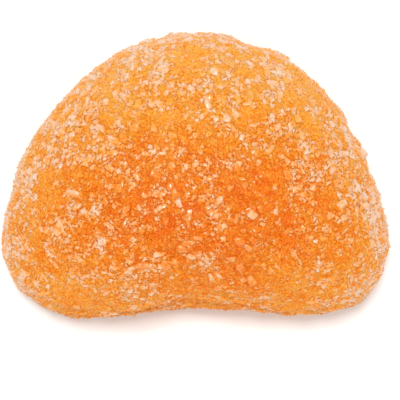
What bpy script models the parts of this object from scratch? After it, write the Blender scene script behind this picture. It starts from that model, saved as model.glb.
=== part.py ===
"""A half-moon gummy candy with its coat of sugar crystals, lying on its flat moulded face.

Metres, +Z up. The origin is the middle of the candy's footprint, on the table. The arched back
points to +Y and the straight edge, with its shallow dip, to -Y. The candy is one piece: a jelly
body cast in a starch mould, with the sugar that it was tumbled in stuck to it for good.
Sizes are in millimetres up to the point where a mesh is made.
"""

import math
import random

import bmesh
import bpy
from mathutils import Euler, Matrix, Vector

MM = 0.001

# The right half of the plan outline, from the crown of the arch to the middle of the straight edge.
# The Bezier curve through these points is mirrored to give the left half.
CROWN = (0.0, 6.96)
SHOULDER = ((2.88, 6.46), (5.34, 4.95))
FLANK = ((7.80, 2.09), (9.06, -1.02))
WIDEST = (9.60, -3.72)
CORNER = ((8.90, -5.62), (7.28, -6.78))
EDGE_LOBE = (4.65, -6.98)
EDGE_DIP = (0.0, -6.68)
POINTS_PER_SPAN = 6

# The profile over that outline. A ring is the outline drawn in towards the summit by a share.
SUMMIT = (0.0, -1.2)
RIM_HEIGHT = 1.9
DOME_RISE = 6.85
DOME_ROUNDNESS = 2.35
UNDERCUT_SHARE = 0.13
TABLE_CUT = 0.45
DOME_RINGS = 11
UNDERCUT_RINGS = 4

# The jelly's unevenness: slumped lumps, and on them the crags of the fine sugar crust.
FACE_SIZE = 0.58
LUMP_WIDTH, LUMP_HEIGHT = 3.4, 0.34
CRAG_WIDTH, CRAG_HEIGHT = 1.15, 0.34

# The largest sugar crystals, which are blocks a little longer than wide, half sunk in the jelly.
CRYSTALS = 190
CRYSTAL_LENGTH = (0.42, 0.66)
CRYSTAL_PLUMPNESS = (0.62, 0.92)
CRYSTAL_TAPER = (0.72, 0.98)
CRYSTAL_TILT = 24.0
CRYSTAL_PROUD = 0.025
CRYSTAL_SPACING = 1.02
LOWEST_CRYSTAL = 0.45
TRIES_PER_CRYSTAL = 40
SEED = 20

JELLY_ORANGE = (0.90, 0.25, 0.03, 1.0)
SUGAR_WHITE = (0.93, 0.80, 0.70, 1.0)


def clear_scene():
    for thing in list(bpy.data.objects):
        bpy.data.objects.remove(thing, do_unlink=True)


def material(name, colour, roughness):
    made = bpy.data.materials.new(name)
    made.use_nodes = True
    shader = made.node_tree.nodes["Principled BSDF"]
    shader.inputs["Base Color"].default_value = colour
    shader.inputs["Roughness"].default_value = roughness
    shader.inputs["Metallic"].default_value = 0.0
    return made


def placed(name, data, collection=None):
    thing = bpy.data.objects.new(name, data)
    (collection or bpy.context.scene.collection).objects.link(thing)
    return thing


def evaluated_mesh(thing):
    """A copy of the object's mesh with its modifiers applied."""
    bpy.context.view_layer.update()
    graph = bpy.context.evaluated_depsgraph_get()
    return bpy.data.meshes.new_from_object(thing.evaluated_get(graph))


def outline_points():
    """The plan outline as points in millimetres, read from one closed Bezier curve."""
    right = [CROWN, *SHOULDER, *FLANK, WIDEST, *CORNER, EDGE_LOBE, EDGE_DIP]
    left = [(-x, y) for x, y in reversed(right[1:-1])]
    stations = right + left
    curve = bpy.data.curves.new("outline", "CURVE")
    spline = curve.splines.new("BEZIER")
    spline.bezier_points.add(len(stations) - 1)
    for point, (x, y) in zip(spline.bezier_points, stations):
        point.co = (x, y, 0.0)
        point.handle_left_type = point.handle_right_type = "AUTO"
    spline.use_cyclic_u = True
    curve.resolution_u = POINTS_PER_SPAN
    guide = placed("outline", curve)
    mesh = evaluated_mesh(guide)
    points = [vertex.co.xy.to_tuple() for vertex in mesh.vertices]
    bpy.data.objects.remove(guide)
    return points


def profile():
    """(share of the outline, height) of each ring in millimetres, from the foot up to the summit."""
    rings = []
    for step in range(UNDERCUT_RINGS, 0, -1):
        angle = math.radians(90) * step / UNDERCUT_RINGS
        share = 1 - UNDERCUT_SHARE * (1 - math.cos(angle))
        rings.append((share, (RIM_HEIGHT + TABLE_CUT) * (1 - math.sin(angle)) - TABLE_CUT))
    for step in range(DOME_RINGS):
        angle = math.radians(90) * step / DOME_RINGS
        share = math.cos(angle) ** (2 / DOME_ROUNDNESS)
        rings.append((share, RIM_HEIGHT + DOME_RISE * math.sin(angle) ** (2 / DOME_ROUNDNESS)))
    return rings


def moulded_form():
    """The smooth cast form: the outline lifted ring by ring to the summit."""
    shape = bmesh.new()
    centre = Vector((*SUMMIT, 0.0))
    outline = [Vector((x, y, 0.0)) for x, y in outline_points()]
    loops = []
    for share, height in profile():
        lift = Vector((0.0, 0.0, height))
        loops.append([shape.verts.new((centre + (p - centre) * share + lift) * MM) for p in outline])
    around = range(len(outline))
    for lower, upper in zip(loops, loops[1:]):
        for i in around:
            j = (i + 1) % len(outline)
            shape.faces.new((lower[i], lower[j], upper[j], upper[i]))
    shape.faces.new(reversed(loops[0]))
    top = shape.verts.new((centre + Vector((0.0, 0.0, RIM_HEIGHT + DOME_RISE))) * MM)
    for i in around:
        shape.faces.new((loops[-1][i], loops[-1][(i + 1) % len(outline)], top))
    bmesh.ops.recalc_face_normals(shape, faces=shape.faces)
    mesh = bpy.data.meshes.new("moulded_form")
    shape.to_mesh(mesh)
    shape.free()
    return mesh


def roughen(thing, name, width, height):
    """Pushes the surface in and out along its normals, by a cloudy pattern of one width."""
    pattern = bpy.data.textures.new(name, "CLOUDS")
    pattern.noise_scale = width * MM
    pattern.noise_depth = 1
    push = thing.modifiers.new(name, "DISPLACE")
    push.texture = pattern
    push.texture_coords = "LOCAL"
    push.mid_level = 0.5
    push.strength = height * MM


def jelly_body():
    """The cast form in even faces, slumped and cragged."""
    thing = placed("gummy_candy", moulded_form())
    even = thing.modifiers.new("even_faces", "REMESH")
    even.mode = "VOXEL"
    even.voxel_size = FACE_SIZE * MM
    roughen(thing, "lumps", LUMP_WIDTH, LUMP_HEIGHT)
    roughen(thing, "crags", CRAG_WIDTH, CRAG_HEIGHT)
    thing.data = evaluated_mesh(thing)
    thing.modifiers.clear()
    return thing


def cut_flat_foot(mesh):
    """Takes off what would be under the table, and closes the cut with one flat face."""
    shape = bmesh.new()
    shape.from_mesh(mesh)
    everything = shape.verts[:] + shape.edges[:] + shape.faces[:]
    cut = bmesh.ops.bisect_plane(
        shape, geom=everything, dist=1e-7, plane_co=(0, 0, 0), plane_no=(0, 0, 1), clear_inner=True
    )
    rim = [edge for edge in cut["geom_cut"] if isinstance(edge, bmesh.types.BMEdge)]
    bmesh.ops.contextual_create(shape, geom=rim)
    bmesh.ops.triangulate(shape, faces=shape.faces)
    bmesh.ops.recalc_face_normals(shape, faces=shape.faces)
    shape.to_mesh(mesh)
    shape.free()


def crystal_mesh(draw):
    """One sugar crystal: a block whose far end is drawn in unevenly."""
    length = draw.uniform(*CRYSTAL_LENGTH)
    width = length * draw.uniform(*CRYSTAL_PLUMPNESS)
    height = width * draw.uniform(*CRYSTAL_PLUMPNESS)
    shape = bmesh.new()
    bmesh.ops.create_cube(shape, size=MM, matrix=Matrix.Diagonal((length, width, height, 1.0)))
    for vertex in shape.verts:
        if vertex.co.x > 0:
            vertex.co.yz *= draw.uniform(*CRYSTAL_TAPER)
    bmesh.ops.triangulate(shape, faces=shape.faces)
    mesh = bpy.data.meshes.new("crystal")
    shape.to_mesh(mesh)
    shape.free()
    return mesh


def surface_spots(mesh, draw):
    """Points and normals spread evenly over all but the foot, each clear of the others."""
    mesh.calc_loop_triangles()
    triangles = list(mesh.loop_triangles)
    areas = [triangle.area for triangle in triangles]
    spots = []
    for triangle in draw.choices(triangles, weights=areas, k=TRIES_PER_CRYSTAL * CRYSTALS):
        a, b, c = (mesh.vertices[i].co for i in triangle.vertices)
        u, v = sorted((draw.random(), draw.random()))
        point = a * u + b * (v - u) + c * (1 - v)
        crowded = any((point - other).length < CRYSTAL_SPACING * MM for other, _ in spots)
        if crowded or point.z < LOWEST_CRYSTAL * MM:
            continue
        spots.append((point, triangle.normal.copy()))
        if len(spots) == CRYSTALS:
            break
    return spots


def sugar_crystals(mesh, draw, coat):
    """The crystals as objects in one collection, each lying on the jelly with a random tilt and turn."""
    collection = bpy.data.collections.new("sugar")
    bpy.context.scene.collection.children.link(collection)
    for number, (point, normal) in enumerate(surface_spots(mesh, draw)):
        crystal = placed(f"crystal_{number}", crystal_mesh(draw), collection)
        crystal.data.materials.append(coat)
        lean = Euler(
            (
                math.radians(draw.uniform(-CRYSTAL_TILT, CRYSTAL_TILT)),
                math.radians(draw.uniform(-CRYSTAL_TILT, CRYSTAL_TILT)),
                math.radians(draw.uniform(0, 360)),
            )
        )
        crystal.rotation_mode = "QUATERNION"
        crystal.rotation_quaternion = normal.to_track_quat("Z", "Y") @ lean.to_quaternion()
        crystal.location = point + normal * CRYSTAL_PROUD * MM
    return collection


def fuse(thing, collection):
    """One union of the jelly with all its crystals, after which the crystals' own objects go."""
    join = thing.modifiers.new("sugar", "BOOLEAN")
    join.operation = "UNION"
    join.operand_type = "COLLECTION"
    join.collection = collection
    join.solver = "EXACT"
    join.material_mode = "TRANSFER"
    thing.data = evaluated_mesh(thing)
    thing.modifiers.clear()
    for crystal in list(collection.objects):
        bpy.data.objects.remove(crystal)
    bpy.data.collections.remove(collection)


def keep_largest_shell(mesh):
    """Fills any hollow that the union sealed, and drops any loose scrap, by keeping the outer skin."""
    shape = bmesh.new()
    shape.from_mesh(mesh)
    left = set(shape.verts)
    shells = []
    while left:
        shell = {left.pop()}
        front = list(shell)
        while front:
            vertex = front.pop()
            near = {edge.other_vert(vertex) for edge in vertex.link_edges} & left
            left -= near
            shell |= near
            front.extend(near)
        shells.append(shell)
    shells.sort(key=len)
    for shell in shells[:-1]:
        bmesh.ops.delete(shape, geom=list(shell), context="VERTS")
    shape.to_mesh(mesh)
    shape.free()


def centre_on_foot(mesh):
    """Moves the mesh so that the middle of its box is over the origin."""
    xs = [vertex.co.x for vertex in mesh.vertices]
    ys = [vertex.co.y for vertex in mesh.vertices]
    middle = Vector(((min(xs) + max(xs)) / 2, (min(ys) + max(ys)) / 2, 0.0))
    mesh.transform(Matrix.Translation(-middle))


def main():
    clear_scene()
    draw = random.Random(SEED)
    jelly = material("orange_jelly", JELLY_ORANGE, 0.35)
    coat = material("sugar_crystal", SUGAR_WHITE, 0.25)
    candy = jelly_body()
    candy.data.materials.append(jelly)
    cut_flat_foot(candy.data)
    fuse(candy, sugar_crystals(candy.data, draw, coat))
    keep_largest_shell(candy.data)
    centre_on_foot(candy.data)
    candy.data.name = "gummy_candy"


main()
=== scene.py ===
"""A sugared half-moon gummy candy lying on a white table, seen from straight above.

The candy is modelled in millimetres, as a cast jelly body and the sugar that it was tumbled in,
and each finished mesh is brought to metres. +Y is the top of the picture.
"""

import math

import bpy
import numpy as np
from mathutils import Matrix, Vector, noise
from mathutils.bvhtree import BVHTree


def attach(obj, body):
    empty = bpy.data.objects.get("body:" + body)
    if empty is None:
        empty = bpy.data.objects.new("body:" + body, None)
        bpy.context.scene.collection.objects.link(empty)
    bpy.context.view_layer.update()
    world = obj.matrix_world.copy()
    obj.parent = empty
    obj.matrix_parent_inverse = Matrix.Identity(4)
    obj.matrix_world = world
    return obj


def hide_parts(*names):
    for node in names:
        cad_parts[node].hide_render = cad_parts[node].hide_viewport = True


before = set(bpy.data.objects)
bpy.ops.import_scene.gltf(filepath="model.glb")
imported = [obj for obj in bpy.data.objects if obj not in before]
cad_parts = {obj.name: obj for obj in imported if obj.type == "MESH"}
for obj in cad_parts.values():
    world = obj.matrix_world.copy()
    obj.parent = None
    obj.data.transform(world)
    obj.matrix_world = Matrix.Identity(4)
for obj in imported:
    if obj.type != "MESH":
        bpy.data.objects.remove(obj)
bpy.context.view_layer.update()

# The jelly body.
# A drop of hot orange jelly is cast in a half-moon print in a tray of starch, and sets with a
# full rounded back and a flat foot. Its skin is slumped in places and puckered by the sugar.

MM = 0.001

# The stations of the outline. The left side repeats the right one's flank and corner.
CROWN = (0.0, 7.14)
LEFT_SHOULDER = ((2.76, 6.62), (5.16, 5.16))
RIGHT_SHOULDER = ((2.66, 6.50), (5.36, 5.36))
FLANK = ((7.92, 2.16), (9.30, -1.10))
WIDEST = (9.78, -3.60)
CORNER = ((9.06, -5.72), (7.30, -6.94))
LEFT_LOBE, RIGHT_LOBE = (4.20, -7.28), (4.70, -7.12)
EDGE_DIP = (0.30, -6.74)
POINTS_PER_SPAN = 8

# The profile: a foot, an undercut flank up to the rim, and a dome over it.
SUMMIT = (0.0, -1.2)
RIM_HEIGHT = 1.9
DOME_RISE = 6.75
DOME_ROUNDNESS = 2.35
UNDERCUT_SHARE = 0.13
FOOT_DEPTH = 0.45
FOOT_HEIGHT = 0.12
DOME_RINGS, UNDERCUT_RINGS = 14, 5
QUARTER_TURN = math.radians(90)
SAME_HEIGHT = 1e-4

# The unevenness of the skin, from slumped lumps to the puckers between the grains.
SKIN_FACE = 0.10
LUMP_WIDTH, LUMP_HEIGHT = 3.4, 0.34
CRAG_WIDTH, CRAG_HEIGHT = 1.15, 0.34
PUCKER_WIDTH, PUCKER_HEIGHT = 0.30, 0.11


def select_only(thing):
    bpy.ops.object.select_all(action="DESELECT")
    thing.select_set(True)
    bpy.context.view_layer.objects.active = thing


def apply_modifiers(thing):
    select_only(thing)
    for modifier in list(thing.modifiers):
        bpy.ops.object.modifier_apply(modifier=modifier.name)


def outline_ring():
    """The plan outline as a closed ring of edges, from a Bezier curve through its stations."""
    sides = [*FLANK, WIDEST, *CORNER]
    left = [(-x, y) for x, y in reversed([*LEFT_SHOULDER, *sides, LEFT_LOBE])]
    stations = [CROWN, *RIGHT_SHOULDER, *sides, RIGHT_LOBE, EDGE_DIP, *left]
    bpy.ops.object.select_all(action="DESELECT")
    bpy.ops.curve.primitive_bezier_circle_add(radius=1.0)
    ring = bpy.context.active_object
    points = ring.data.splines[0].bezier_points
    points.add(len(stations) - len(points))
    for point, (x, y) in zip(points, stations):
        point.co = (x, y, 0.0)
        point.handle_left_type = point.handle_right_type = "AUTO"
    ring.data.resolution_u = POINTS_PER_SPAN
    bpy.ops.object.convert(target="MESH")
    return bpy.context.active_object


def profile_steps():
    """The profile from the foot to near the summit, as the ring's share of its size and its height."""
    steps = []
    for step in range(UNDERCUT_RINGS, 0, -1):
        angle = QUARTER_TURN * step / UNDERCUT_RINGS
        share = 1 - UNDERCUT_SHARE * (1 - math.cos(angle))
        steps.append((share, (RIM_HEIGHT + FOOT_DEPTH) * (1 - math.sin(angle)) - FOOT_DEPTH))
    for step in range(DOME_RINGS):
        angle = QUARTER_TURN * step / DOME_RINGS
        share = math.cos(angle) ** (2 / DOME_ROUNDNESS)
        steps.append((share, RIM_HEIGHT + DOME_RISE * math.sin(angle) ** (2 / DOME_ROUNDNESS)))
    return steps


def draw_up(height):
    """Extrudes the selected ring straight up."""
    bpy.ops.mesh.extrude_edges_move(TRANSFORM_OT_translate={"value": (0, 0, height)})


def cast_form():
    """The ring drawn up from the foot to the summit, and closed at both ends."""
    steps = profile_steps()
    form = outline_ring()
    centre = (*SUMMIT, 0.0)
    bpy.ops.object.mode_set(mode="EDIT")
    bpy.ops.mesh.select_mode(type="EDGE")
    bpy.ops.mesh.select_all(action="SELECT")
    share, height = foot_share, foot_level = steps[0]
    bpy.ops.transform.resize(value=(foot_share, foot_share, 1), center_override=centre)
    bpy.ops.transform.translate(value=(0, 0, foot_level))
    for next_share, next_height in steps[1:]:
        draw_up(next_height - height)
        drawn_in = next_share / share
        bpy.ops.transform.resize(value=(drawn_in, drawn_in, 1), center_override=centre)
        share, height = next_share, next_height
    draw_up(RIM_HEIGHT + DOME_RISE - height)
    bpy.ops.mesh.merge(type="CENTER")
    bpy.ops.mesh.select_all(action="DESELECT")
    bpy.ops.object.mode_set(mode="OBJECT")
    for edge in form.data.edges:
        ends = [form.data.vertices[i].co.z for i in edge.vertices]
        edge.select = max(ends) < foot_level + SAME_HEIGHT
    bpy.ops.object.mode_set(mode="EDIT")
    bpy.ops.mesh.edge_face_add()
    bpy.ops.mesh.select_all(action="SELECT")
    bpy.ops.mesh.normals_make_consistent(inside=False)
    bpy.ops.object.mode_set(mode="OBJECT")
    return form


def roughen(thing, name, width, height):
    """Pushes the skin in and out along its normals, by a cloudy pattern of one width."""
    pattern = bpy.data.textures.new(name, "CLOUDS")
    pattern.noise_scale = width
    pattern.noise_depth = 1
    push = thing.modifiers.new(name, "DISPLACE")
    push.texture = pattern
    push.texture_coords = "LOCAL"
    push.mid_level = 0.5
    push.strength = height


def press_foot(thing):
    """Flattens all that is lower than the foot, as the table does."""
    select_only(thing)
    bpy.ops.object.mode_set(mode="EDIT")
    bpy.ops.mesh.select_mode(type="VERT")
    bpy.ops.mesh.select_all(action="DESELECT")
    bpy.ops.object.mode_set(mode="OBJECT")
    for vertex in thing.data.vertices:
        vertex.select = vertex.co.z < FOOT_HEIGHT
    bpy.ops.object.mode_set(mode="EDIT")
    bpy.ops.transform.resize(value=(1, 1, 0), center_override=(0, 0, FOOT_HEIGHT))
    bpy.ops.object.mode_set(mode="OBJECT")


def to_metres(thing):
    select_only(thing)
    bpy.ops.transform.resize(value=(MM, MM, MM), center_override=(0, 0, 0))
    bpy.ops.object.transform_apply(location=True, rotation=True, scale=True)


jelly = cast_form()
jelly.name = jelly.data.name = "jelly_body"
even = jelly.modifiers.new("even_faces", "REMESH")
even.mode = "VOXEL"
even.voxel_size = SKIN_FACE
roughen(jelly, "lumps", LUMP_WIDTH, LUMP_HEIGHT)
roughen(jelly, "crags", CRAG_WIDTH, CRAG_HEIGHT)
apply_modifiers(jelly)
press_foot(jelly)
bed = jelly.data.copy()
roughen(jelly, "pucker", PUCKER_WIDTH, PUCKER_HEIGHT)
apply_modifiers(jelly)
bpy.ops.object.shade_smooth()


def linear(hex_colour):
    """An sRGB hex colour as linear RGBA."""
    parts = [int(hex_colour[i:i + 2], 16) / 255 for i in (1, 3, 5)]
    return [c / 12.92 if c <= 0.04045 else ((c + 0.055) / 1.055) ** 2.4 for c in parts] + [1.0]


def node(tree, kind, values=(), links=(), **settings):
    """Adds one node, with its settings, its sockets' values, and links into it."""
    made = tree.nodes.new(kind)
    for name, value in settings.items():
        setattr(made, name, value)
    for socket, value in dict(values).items():
        made.inputs[socket].default_value = value
    for socket, source in dict(links).items():
        tree.links.new(source, made.inputs[socket])
    return made


def colour_ramp(tree, source, stops):
    """A ramp node that turns a value into one of several colours."""
    ramp = node(tree, "ShaderNodeValToRGB", links={"Fac": source})
    elements = ramp.color_ramp.elements
    while len(elements) < len(stops):
        elements.new(0.5)
    for element, (place, colour) in zip(elements, stops):
        element.position = place
        element.color = linear(colour)
    return ramp.outputs["Color"]


# Pectin jelly, cast and sugared: clear orange, with a moist skin that shines a little. Its colour is deepest
# at one place low in the middle and turns amber towards its crown, its flanks and its straight edge. That
# amber is painted light: it stands in for light carried through the thinner jelly, for the crown on the
# softbox's side being lit more, and for light on the shaded straight edge. A fine crust of sugar dust makes
# it paler, most of all on its steep flanks.
# Where the painted glow is least, and how far it reaches along x, y and z: painted light through the thin
# jelly, on the lit crown and on the shaded straight edge.
LEAST_GLOW_PLACE, GLOW_REACH = (0.2, -2.4, 5.0), (20.0, 10.5, 36.0)
CLOUD_SIZE, CLOUD_DEPTH, JELLY_MOTTLE = 1.7, 0.8, (0.10, -0.22, 0.22)
# The jelly's colours, from deep orange to the painted amber of light through it; the palest stops are
# lightened to make up for shade on the straight edge.
JELLY_AND_GLOW_STOPS = [(0.34, "#E66006"), (0.60, "#EB750D"), (0.83, "#F08E1A"), (1.0, "#F5A63E")]
CRUST_SIZE, CRUST_PALE, CRUST_DEPTH, CRUST_HEIGHT = 0.12, "#F8A850", 0.6, 0.05
CRUST_LOW, CRUST_HIGH = 0.45, 0.7
LEVEL_FACING, STEEP_FACING, STEEP_PALE = 0.95, 0.15, 0.5
FROST_BLOBS, FROST_MOTTLE = (0.36, 0.4, 1.5), (0.10, 0.7, 1.25)
PATTERN_LOW, PATTERN_HIGH = 0.38, 0.66


def uneven_share(tree, place, size, least, most):
    """A soft pattern of one size, as a share that goes from the least to the most."""
    pattern = node(
        tree, "ShaderNodeTexNoise", {"Scale": 1 / (size * MM), "Detail": 2.0}, {"Vector": place}
    ).outputs["Fac"]
    return node(
        tree, "ShaderNodeMapRange",
        {"From Min": PATTERN_LOW, "From Max": PATTERN_HIGH, "To Min": least, "To Max": most},
        {"Value": pattern},
    ).outputs["Result"]


def jelly_colour_and_painted_glow(tree, place):
    """The jelly's colour at a place, with its painted glow: the distance from the place of least glow, made
    uneven by clouds, runs from deep orange to painted amber light.
    """
    from_least_glow = node(
        tree, "ShaderNodeMapping",
        {"Location": [-p / r for p, r in zip(LEAST_GLOW_PLACE, GLOW_REACH)], "Scale": [1 / (r * MM) for r in GLOW_REACH]},
        {"Vector": place},
    ).outputs["Vector"]
    glow_distance = node(tree, "ShaderNodeVectorMath", links={0: from_least_glow}, operation="LENGTH")
    clouds = node(
        tree, "ShaderNodeTexNoise", {"Scale": 1 / (CLOUD_SIZE * MM), "Detail": 4.0, "Roughness": 0.7},
        {"Vector": place},
    )
    uneven = node(
        tree, "ShaderNodeMath", {1: CLOUD_DEPTH}, {0: clouds.outputs["Fac"], 2: glow_distance.outputs["Value"]},
        operation="MULTIPLY_ADD",
    )
    mottled = node(
        tree, "ShaderNodeMath",
        links={0: uneven.outputs["Value"], 1: uneven_share(tree, place, *JELLY_MOTTLE)}, operation="ADD",
    )
    return colour_ramp(tree, mottled.outputs["Value"], JELLY_AND_GLOW_STOPS)


def frost(tree, place):
    """How frosted the sugar is at a place: soft pale blobs, each mottled."""
    blobs = uneven_share(tree, place, *FROST_BLOBS)
    mottle = uneven_share(tree, place, *FROST_MOTTLE)
    return node(tree, "ShaderNodeMath", links={0: blobs, 1: mottle}, operation="MULTIPLY").outputs["Value"]


# The colour sockets of a mix node, which share their names with others, by their numbers.
MIX_SHARE, MIX_FIRST, MIX_SECOND, MIX_RESULT = 0, 6, 7, 2

skin = bpy.data.materials.new("cast_pectin_jelly_and_painted_glow")
skin.use_nodes = True
tree = skin.node_tree
shader = tree.nodes["Principled BSDF"]
place = node(tree, "ShaderNodeTexCoord").outputs["Object"]
crust = node(
    tree, "ShaderNodeTexNoise", {"Scale": 1 / (CRUST_SIZE * MM), "Detail": 3.0, "Roughness": 0.7},
    {"Vector": place},
).outputs["Fac"]
grainy = node(
    tree, "ShaderNodeMapRange", {"From Min": CRUST_LOW, "From Max": CRUST_HIGH, "To Max": CRUST_DEPTH},
    {"Value": crust},
).outputs["Result"]
facing = node(
    tree, "ShaderNodeSeparateXYZ", links={"Vector": node(tree, "ShaderNodeNewGeometry").outputs["Normal"]}
).outputs["Z"]
steepness = node(
    tree, "ShaderNodeMapRange",
    {"From Min": LEVEL_FACING, "From Max": STEEP_FACING, "To Max": STEEP_PALE}, {"Value": facing},
).outputs["Result"]
crusted = node(
    tree, "ShaderNodeMath", links={0: grainy, 1: frost(tree, place), 2: steepness}, operation="MULTIPLY_ADD",
    use_clamp=True,
).outputs["Value"]
# The jelly's colour here carries its painted glow of light through the thin jelly.
colour = node(
    tree, "ShaderNodeMix", {MIX_SECOND: linear(CRUST_PALE)},
    {MIX_SHARE: crusted, MIX_FIRST: jelly_colour_and_painted_glow(tree, place)}, data_type="RGBA",
).outputs[MIX_RESULT]
bump = node(tree, "ShaderNodeBump", {"Strength": 0.6, "Distance": CRUST_HEIGHT * MM}, {"Height": crust})
tree.links.new(colour, shader.inputs["Base Color"])
tree.links.new(bump.outputs["Normal"], shader.inputs["Normal"])
shader.inputs["Subsurface Weight"].default_value = 0.8
shader.inputs["Subsurface Radius"].default_value = (1.0, 0.7, 0.5)
shader.inputs["Subsurface Scale"].default_value = 0.4 * MM
shader.inputs["Roughness"].default_value = 0.42
shader.inputs["Specular IOR Level"].default_value = 0.12
shader.inputs["IOR"].default_value = 1.42
jelly.data.materials.append(skin)

to_metres(jelly)
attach(jelly, "root")
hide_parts("gummy_candy")

# The sugar.
# After it has set, the candy is steamed and tumbled in granulated sugar. The grains are clear
# blocks with broken corners, pressed into the skin at all angles. They lie in drifts with barer
# jelly between, thick on the flanks and thin along the straight edge.

# Chance drifts, clumps and knots of sugar, each as a width, a strength and a shift of its pattern.
AVERAGE_DEPTH = 0.40
DEPTH_PATTERNS = [(1.5, 0.85, (3.1, 7.7, 1.9)), (0.6, 1.1, (9.4, 2.2, 5.3)), (0.28, 0.8, (4.6, 8.8, 2.7))]

# The drifts and barer patches that show from above, each as a place, a reach and a strength.
DRIFTS = [
    ((-6.9, 0.7), 0.45, 1.0), ((5.2, 0.6), 0.5, 0.7), ((6.5, -0.1), 0.7, 0.5), ((-1.3, 1.4), 0.5, 0.5),
    ((-2.4, 2.0), 0.5, 0.5), ((-4.8, -4.8), 0.8, 0.6), ((-3.4, -5.8), 0.6, 0.5), ((-8.9, -3.9), 0.6, 0.6),
    ((3.1, 2.8), 0.4, 0.5), ((1.0, -5.0), 0.5, 0.4), ((7.8, -6.1), 0.5, 0.7), ((8.6, -1.2), 0.8, 0.6),
    ((-5.2, 1.5), 1.2, 0.5), ((0.8, 3.2), 1.2, 0.4), ((-6.3, -2.8), 1.2, 0.7), ((-8.6, -5.9), 1.1, 0.9),
    ((8.8, -5.9), 1.0, 0.9), ((2.8, 0.9), 1.3, 0.4), ((6.7, 0.9), 1.2, 0.4), ((-3.6, -4.7), 1.2, 0.5),
    ((8.9, -2.8), 1.0, 0.8), ((-1.0, 3.6), 1.4, 0.6), ((-2.8, 5.0), 1.4, 0.35), ((4.3, 2.6), 1.2, 0.2),
    ((-3.6, -0.5), 1.1, 0.5), ((-9.2, -0.6), 1.0, 0.6), ((-2.6, -4.4), 1.2, 0.4), ((0.8, 0.6), 1.3, 0.3),
]
BARE_PATCHES = [
    ((-7.1, -1.3), 0.5, 0.4), ((-7.8, -2.7), 0.5, 0.4), ((2.5, 5.1), 0.6, 0.5), ((-5.4, -6.6), 1.2, 0.8),
    ((6.9, -1.2), 0.6, 0.7), ((-4.6, 4.1), 0.6, 0.6), ((6.9, 1.7), 0.6, 0.6), ((-0.2, 5.3), 0.5, 0.4),
    ((1.5, 1.0), 0.6, 0.4), ((-0.2, -6.2), 1.4, 0.9), ((4.9, -6.4), 0.9, 0.5), ((2.8, -4.4), 1.3, 0.5),
    ((6.4, 5.0), 1.2, 1.4), ((7.0, 3.4), 0.8, 0.4), ((2.8, -0.8), 1.3, 0.35),
]

# How white the sugar is: on the flanks, where the eye meets more of it, in or out of a drift, along
# the straight edge, where the coat is thin, and where it lies on a larger crystal.
FLANK_WHITENESS, EVEN_FLANK, EDGE_THINNESS = 1.55, 0.42, 0.7
LIFT_NOTICED, WHITER_ON_CRYSTALS = 0.02, 0.3
MOST_WHITE, SPECKLE_LEAN = 1.3, 2

# How much of that a crystal's clearest face keeps, and how much its sides lose.
CLEAREST_FACE, SIDE_CLEARNESS, LEAST_CLEARED = 0.75, 0.4, 0.3

# The crystals: how they are tried, sized, put out of square and landed on larger ones.
TRIES_PER_PLACE = 5
SIZE_LEAN = 2.0
SKEW = 0.28
LANDING_HEIGHT = 0.6
END_FACING, WORN_FACING, SIDE_FACING = 0.9, 0.92, 0.45


def rows_of(items, field, kind=float):
    """One field of a mesh's items, three numbers to a row."""
    values = np.empty(len(items) * 3, dtype=kind)
    items.foreach_get(field, values)
    return values.reshape(-1, 3)


def unit_rows(rows):
    return rows / np.linalg.norm(rows, axis=1, keepdims=True)


def crystal_model(proportions, taper, chops, bevel, rounds=1):
    """One crystal of unit length: a block tapered to one end, with broken corners and worn edges.

    It gives the corners, the faces, which faces are worn or broken and so frosted, and which stand
    at the sides, where the jelly's colour comes through.
    """
    bpy.ops.object.select_all(action="DESELECT")
    bpy.ops.mesh.primitive_cube_add(size=1.0)
    block = bpy.context.active_object
    bpy.ops.object.mode_set(mode="EDIT")
    bpy.ops.mesh.select_all(action="SELECT")
    bpy.ops.transform.resize(value=proportions, center_override=(0, 0, 0))
    bpy.ops.mesh.select_mode(type="FACE")
    bpy.ops.mesh.select_all(action="DESELECT")
    bpy.ops.object.mode_set(mode="OBJECT")
    for face in block.data.polygons:
        face.select = face.normal.x > END_FACING
    bpy.ops.object.mode_set(mode="EDIT")
    bpy.ops.transform.resize(value=(1, *taper), center_override=(proportions[0] / 2, 0, 0))
    if bevel:
        bpy.ops.mesh.select_all(action="SELECT")
        bpy.ops.mesh.bevel(offset=bevel, segments=rounds, affect="EDGES")
    for corner, reach_in in chops:
        towards = Vector(corner).normalized()
        cut = Vector(c * p / 2 for c, p in zip(corner, proportions)) * reach_in
        bpy.ops.mesh.select_all(action="SELECT")
        bpy.ops.mesh.bisect(plane_co=cut, plane_no=towards, use_fill=True, clear_outer=True)
    bpy.ops.mesh.select_all(action="SELECT")
    bpy.ops.mesh.quads_convert_to_tris()
    bpy.ops.mesh.normals_make_consistent(inside=False)
    bpy.ops.object.mode_set(mode="OBJECT")
    mesh = block.data
    corners = rows_of(mesh.vertices, "co")
    faces = np.array([tuple(face.vertices) for face in mesh.polygons])
    worn = np.array([max(abs(n) for n in face.normal) < WORN_FACING for face in mesh.polygons], dtype=float)
    side = np.array([face.normal.z < SIDE_FACING for face in mesh.polygons], dtype=float)
    bpy.data.objects.remove(block)
    return corners, faces, worn, side


def sugar_depth(places):
    """How thickly the sugar lies at each place, from bare jelly at 0 to a full drift at 1."""
    depth = []
    for place in places:
        here = AVERAGE_DEPTH
        for width, strength, shift in DEPTH_PATTERNS:
            here += strength * noise.noise(Vector(place) / width + Vector(shift))
        depth.append(here)
    depth = np.array(depth)
    seen_from_above = places[:, 2] > RIM_HEIGHT
    signed = [(*row, 1.0) for row in DRIFTS] + [(*row, -1.0) for row in BARE_PATCHES]
    for (x, y), reach, strength, sign in signed:
        gap = np.hypot(places[:, 0] - x, places[:, 1] - y) / reach
        depth += seen_from_above * sign * strength * np.exp(-gap ** 2)
    return np.clip(depth, 0.0, 1.0)


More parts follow.
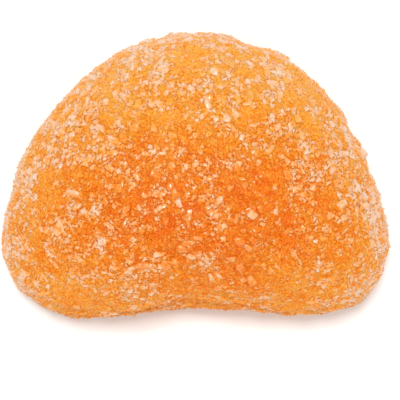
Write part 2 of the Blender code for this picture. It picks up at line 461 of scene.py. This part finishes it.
def spread(rng, number, spacing, evenness):
    """Places on the candy's bed, their normals and their sugar depth, no two within the spacing."""
    bed.calc_loop_triangles()
    triangles = rows_of(bed.loop_triangles, "vertices", np.int32)
    points = rows_of(bed.vertices, "co")
    normals = rows_of(bed.vertex_normals, "vector")
    a, b, c = (points[triangles[:, i]] for i in range(3))
    areas = np.linalg.norm(np.cross(b - a, c - a), axis=1)
    tries = number * TRIES_PER_PLACE
    chosen = rng.choice(len(triangles), size=tries, p=areas / areas.sum())
    u, v = np.sort(rng.random((2, tries)), axis=0)
    weights = np.stack([u, v - u, 1 - v], axis=1)
    places = np.einsum("nk,nkx->nx", weights, points[triangles[chosen]])
    facing = unit_rows(np.einsum("nk,nkx->nx", weights, normals[triangles[chosen]]))
    depth = sugar_depth(places)
    wanted = np.flatnonzero(rng.random(tries) < evenness + (1 - evenness) * depth)
    taken = {}
    kept = []
    for i in wanted:
        x, y, z = places[i].tolist()
        cell = (int(x // spacing), int(y // spacing), int(z // spacing))
        if any(
            (x - p) ** 2 + (y - q) ** 2 + (z - r) ** 2 < spacing ** 2
            for dx in (-1, 0, 1) for dy in (-1, 0, 1) for dz in (-1, 0, 1)
            for p, q, r in taken.get((cell[0] + dx, cell[1] + dy, cell[2] + dz), ())
        ):
            continue
        taken.setdefault(cell, []).append((x, y, z))
        kept.append(i)
        if len(kept) == number:
            break
    return places[kept], facing[kept], depth[kept]


def surface_so_far(crystals):
    """The bed and the crystals that are on it already, as one surface for smaller ones to land on."""
    points, faces, start = [], [], 0
    for mesh, unit in [(bed, 1.0)] + [(thing.data, 1 / MM) for thing in crystals]:
        points += (rows_of(mesh.vertices, "co") * unit).tolist()
        faces += [tuple(start + i for i in face.vertices) for face in mesh.polygons]
        start += len(mesh.vertices)
    return BVHTree.FromPolygons(points, faces)


def landed(places, facing, surface):
    """The places lifted to whatever lies outermost there, and how far each was lifted."""
    lifts = np.zeros(len(places))
    for i, (place, up) in enumerate(zip(places, facing)):
        start = Vector(place + up * LANDING_HEIGHT)
        hit = surface.ray_cast(start, Vector(-up), LANDING_HEIGHT)
        if hit[0]:
            lifts[i] = LANDING_HEIGHT - hit[3]
    return places + facing * lifts[:, None], lifts


def turned(rng, facing, tilt):
    """A turn for each crystal: turned by chance, and upright on the skin but for a chance tilt."""
    up = unit_rows(facing + rng.normal(0, math.sin(math.radians(tilt)), facing.shape))
    along = unit_rows(np.cross(up, rng.normal(0, 1, facing.shape)))
    return np.stack([along, np.cross(up, along), up], axis=2)


def whitened(rng, facing, depth, lifts, whiteness):
    """How white each crystal is, from its own chance, its drift and where on the candy it is."""
    in_drifts, lean, speckle = whiteness
    number = len(depth)
    own = in_drifts * depth * rng.random(number) ** lean + speckle * rng.random(number) ** SPECKLE_LEAN
    coat = 1 - EDGE_THINNESS * np.clip(-facing[:, 1], 0, 1)
    flank = FLANK_WHITENESS * np.clip(1 - facing[:, 2], 0, 1) * (EVEN_FLANK + (1 - EVEN_FLANK) * depth)
    return own * (1 + coat) / 2 + flank * coat + WHITER_ON_CRYSTALS * (lifts > LIFT_NOTICED)


def strewn(
    name, models, number, lengths, spacing, sunk, tilt, evenness, whiteness, landed_share, seed, surface
):
    """One mesh of many crystals, each copied from one of the models, turned, tilted and half sunk."""
    rng = np.random.default_rng(seed)
    places, facing, depth = spread(rng, number, spacing, evenness)
    number = len(places)
    lands = rng.random(number) < landed_share
    lifts = np.zeros(number)
    places[lands], lifts[lands] = landed(places[lands], facing[lands], surface)
    shortest, longest = lengths
    sizes = shortest + (longest - shortest) * rng.random(number) ** SIZE_LEAN
    turns = turned(rng, facing, tilt)
    kinds = rng.integers(0, len(models), number)
    whites = whitened(rng, facing, depth, lifts, whiteness)
    sunk_level, sunk_more_steep = sunk
    corners, faces, tints, start = [], [], [], 0
    for kind, (model, model_faces, worn, side) in enumerate(models):
        mine = np.flatnonzero(kinds == kind)
        skew = np.eye(3) + rng.uniform(-SKEW, SKEW, (len(mine), 3, 3))
        shaped = np.einsum("nij,vj->nvi", skew, model) * sizes[mine, None, None]
        thick = shaped[:, :, 2].max(axis=1) - shaped[:, :, 2].min(axis=1)
        buried = sunk_level + sunk_more_steep * (1 - facing[mine, 2])
        lift = facing[mine] * ((0.5 - buried) * thick)[:, None]
        moved = np.einsum("nij,nvj->nvi", turns[mine], shaped) + (places[mine] + lift)[:, None, :]
        corners.append(moved.reshape(-1, 3))
        offsets = start + np.arange(len(mine))[:, None, None] * len(model)
        faces.append((model_faces[None] + offsets).reshape(-1, 3))
        clouded = CLEAREST_FACE + (1 - CLEAREST_FACE) * np.maximum(worn, rng.random((len(mine), len(worn))))
        cleared = SIDE_CLEARNESS * side * np.clip(facing[mine, 2:], LEAST_CLEARED, 1)
        tints.append((whites[mine, None] * clouded * (1 - cleared)).ravel())
        start += len(mine) * len(model)
    corners = np.concatenate(corners)
    corners[:, 2] = np.maximum(corners[:, 2], 0.0)
    mesh = bpy.data.meshes.new(name)
    mesh.from_pydata((corners * MM).tolist(), [], np.concatenate(faces).tolist())
    tint = mesh.attributes.new("whiteness", "FLOAT", "FACE")
    tint.data.foreach_set("value", np.clip(np.concatenate(tints), 0, MOST_WHITE).astype(np.float32))
    sugar = bpy.data.objects.new(name, mesh)
    bpy.context.scene.collection.objects.link(sugar)
    return sugar


# Granulated sucrose, grown as clear blocks: where a grain has taken up moisture it shows the
# jelly's colour through it, and where its faces are frosted it is cream.
SUGAR_STOPS = [(0.0, "#F4A634"), (0.25, "#F0AC58"), (0.55, "#EBB582"), (1.0, "#E8C7AC")]
VEIL = 1.95


def sugar_material(name, roughness, specular):
    made = bpy.data.materials.new(name)
    made.use_nodes = True
    tree = made.node_tree
    shader = tree.nodes["Principled BSDF"]
    place = node(tree, "ShaderNodeTexCoord").outputs["Object"]
    whiteness = node(tree, "ShaderNodeAttribute", attribute_name="whiteness").outputs["Fac"]
    share = node(
        tree, "ShaderNodeMath", links={0: whiteness, 1: frost(tree, place)}, operation="MULTIPLY"
    ).outputs["Value"]
    veil = node(
        tree, "ShaderNodeMath", {1: VEIL}, {0: share}, operation="MULTIPLY", use_clamp=True
    ).outputs["Value"]
    # Clear sugar shows the jelly's colour, with the same painted glow of light through the jelly.
    colour = node(
        tree, "ShaderNodeMix",
        links={
            MIX_SHARE: veil, MIX_FIRST: jelly_colour_and_painted_glow(tree, place),
            MIX_SECOND: colour_ramp(tree, share, SUGAR_STOPS),
        },
        data_type="RGBA",
    ).outputs[MIX_RESULT]
    tree.links.new(colour, shader.inputs["Base Color"])
    shader.inputs["Roughness"].default_value = roughness
    shader.inputs["Specular IOR Level"].default_value = specular
    shader.inputs["IOR"].default_value = 1.54
    return made


# The small grains are rubbed dull, and the larger crystals keep glassy faces that catch the light.
frosted = sugar_material("granulated_sugar", 0.42, 0.06)
glassy = sugar_material("clear_sugar_crystals", 0.22, 0.45)

# Pebbles are worn round, chips have broken corners, and grains are plain blocks.
pebbles = [
    crystal_model((1.0, 0.82, 0.66), (0.85, 0.9), [((1, 1, 1), 0.75)], 0.17, 2),
    crystal_model((1.0, 0.70, 0.60), (0.72, 0.8), [], 0.15, 2),
    crystal_model((1.0, 0.92, 0.72), (0.9, 0.95), [((-1, 1, 1), 0.7)], 0.20, 2),
    crystal_model((1.0, 0.76, 0.66), (0.65, 0.9), [], 0.14, 2),
]
chips = [
    crystal_model((1.0, 0.80, 0.60), (0.8, 0.9), [((1, 1, 1), 0.5), ((-1, 1, 1), 0.7)], 0.0),
    crystal_model((1.0, 0.62, 0.55), (0.7, 0.8), [((1, -1, 1), 0.45), ((-1, 0.6, 1), 0.7)], 0.0),
    crystal_model((1.0, 0.90, 0.66), (0.95, 0.8), [((-1, -1, 1), 0.5), ((1, 0.7, 1), 0.6)], 0.0),
]
grains = [
    crystal_model((1.0, 0.85, 0.75), (0.7, 0.8), [], 0.0),
    crystal_model((1.0, 0.70, 0.70), (0.9, 0.6), [], 0.0),
]

# The five kinds of sugar. Sunk is the share of a crystal that is in the jelly on a level place, and
# how much more on a steep one. Whiteness is its strength in a drift, how much it varies there, and
# the strength of the single white ones. The landed share lies on larger crystals.
sugar_kinds = [
    dict(
        name="coarse_crystals", models=pebbles, number=110, lengths=(0.38, 0.56), spacing=0.60,
        sunk=(0.68, 0.10), tilt=6, evenness=0.1, whiteness=(0.4, 0.5, 0.6), landed_share=0.0,
    ),
    dict(
        name="pale_crystals", models=pebbles, number=1400, lengths=(0.22, 0.48), spacing=0.30,
        sunk=(0.62, 0.10), tilt=8, evenness=0.1, whiteness=(0.6, 0.5, 0.5), landed_share=0.0,
    ),
    dict(
        name="medium_crystals", models=chips, number=5200, lengths=(0.14, 0.30), spacing=0.18,
        sunk=(0.58, 0.04), tilt=14, evenness=0.1, whiteness=(0.56, 0.4, 0.42), landed_share=0.0,
    ),
    dict(
        name="fine_grains", models=grains, number=16000, lengths=(0.08, 0.18), spacing=0.10,
        sunk=(0.52, 0.0), tilt=25, evenness=0.3, whiteness=(0.54, 0.2, 0.38), landed_share=0.06,
    ),
    dict(
        name="finest_grains", models=grains, number=16000, lengths=(0.07, 0.15), spacing=0.08,
        sunk=(0.50, 0.0), tilt=30, evenness=0.5, whiteness=(0.50, 0.2, 0.42), landed_share=0.12,
    ),
]
FIRST_SEED = 20
strewn_so_far = []
for seed, kind in enumerate(sugar_kinds, start=FIRST_SEED):
    sugar = strewn(**kind, seed=seed, surface=surface_so_far(strewn_so_far))
    strewn_so_far.append(sugar)
    if kind["models"] is pebbles:
        select_only(sugar)
        bpy.ops.object.shade_smooth()
        sugar.data.materials.append(glassy)
    else:
        sugar.data.materials.append(frosted)
    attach(sugar, "root")
    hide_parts("gummy_candy")

# The table.
# A sheet of matt white board, so bright that only the candy's soft shadow shows on it.
TABLE_WIDTH, TABLE_DROP = 600.0, 0.02

bpy.ops.object.select_all(action="DESELECT")
bpy.ops.mesh.primitive_plane_add(size=TABLE_WIDTH * MM, location=(0, 0, -TABLE_DROP * MM))
table = bpy.context.active_object
table.name = "table"
board = bpy.data.materials.new("white_board")
board.use_nodes = True
board_shader = board.node_tree.nodes["Principled BSDF"]
board_shader.inputs["Base Color"].default_value = linear("#FAFAFA")
board_shader.inputs["Roughness"].default_value = 0.8
board_shader.inputs["Specular IOR Level"].default_value = 0.2
table.data.materials.append(board)

# The light.
# One small softbox high over the top of the picture, a little to the left, in a white studio, so
# that the candy's shadow shows as a thin soft band along its straight edge.
# A white card at the front gives back a little light to the straight edge.
# Each is a name, a turn and a height in degrees, a width in millimetres and a power in watts.
SOFTBOX = ("softbox", 100.0, 79.2, 100.0, 1.38)
CARD = ("white_card", -85.0, 35.0, 300.0, 0.20)
LIGHT_DISTANCE = 500.0
STUDIO_WHITE = 0.69

for name, turn, height, width, power in (SOFTBOX, CARD):
    turn, height = math.radians(turn), math.radians(height)
    aim = Vector((math.cos(height) * math.cos(turn), math.cos(height) * math.sin(turn), math.sin(height)))
    bpy.ops.object.light_add(type="AREA", location=aim * LIGHT_DISTANCE * MM)
    light = bpy.context.active_object
    light.name = name
    light.rotation_euler = aim.to_track_quat("Z", "Y").to_euler()
    light.data.shape = "SQUARE"
    light.data.size = width * MM
    light.data.energy = power

world = bpy.data.worlds.new("white_studio")
world.use_nodes = True
world.node_tree.nodes["Background"].inputs["Color"].default_value = (1, 1, 1, 1)
world.node_tree.nodes["Background"].inputs["Strength"].default_value = STUDIO_WHITE
bpy.context.scene.world = world
bpy.context.scene.view_settings.view_transform = "Standard"

# The camera.
# It looks straight down through a long lens, with the picture's edges 20.5 mm apart.
PICTURE_WIDTH, PICTURE_CENTRE = 20.5, (0.256, -1.385)
SENSOR, LENS = 36.0, 200.0
NEAREST_SEEN = 1.0

camera_height = RIM_HEIGHT + PICTURE_WIDTH * LENS / SENSOR
bpy.ops.object.camera_add(
    location=(PICTURE_CENTRE[0] * MM, PICTURE_CENTRE[1] * MM, camera_height * MM), rotation=(0, 0, 0)
)
camera = bpy.context.active_object
camera.data.sensor_width = SENSOR
camera.data.lens = LENS
camera.data.clip_start = NEAREST_SEEN * MM
bpy.context.scene.camera = camera
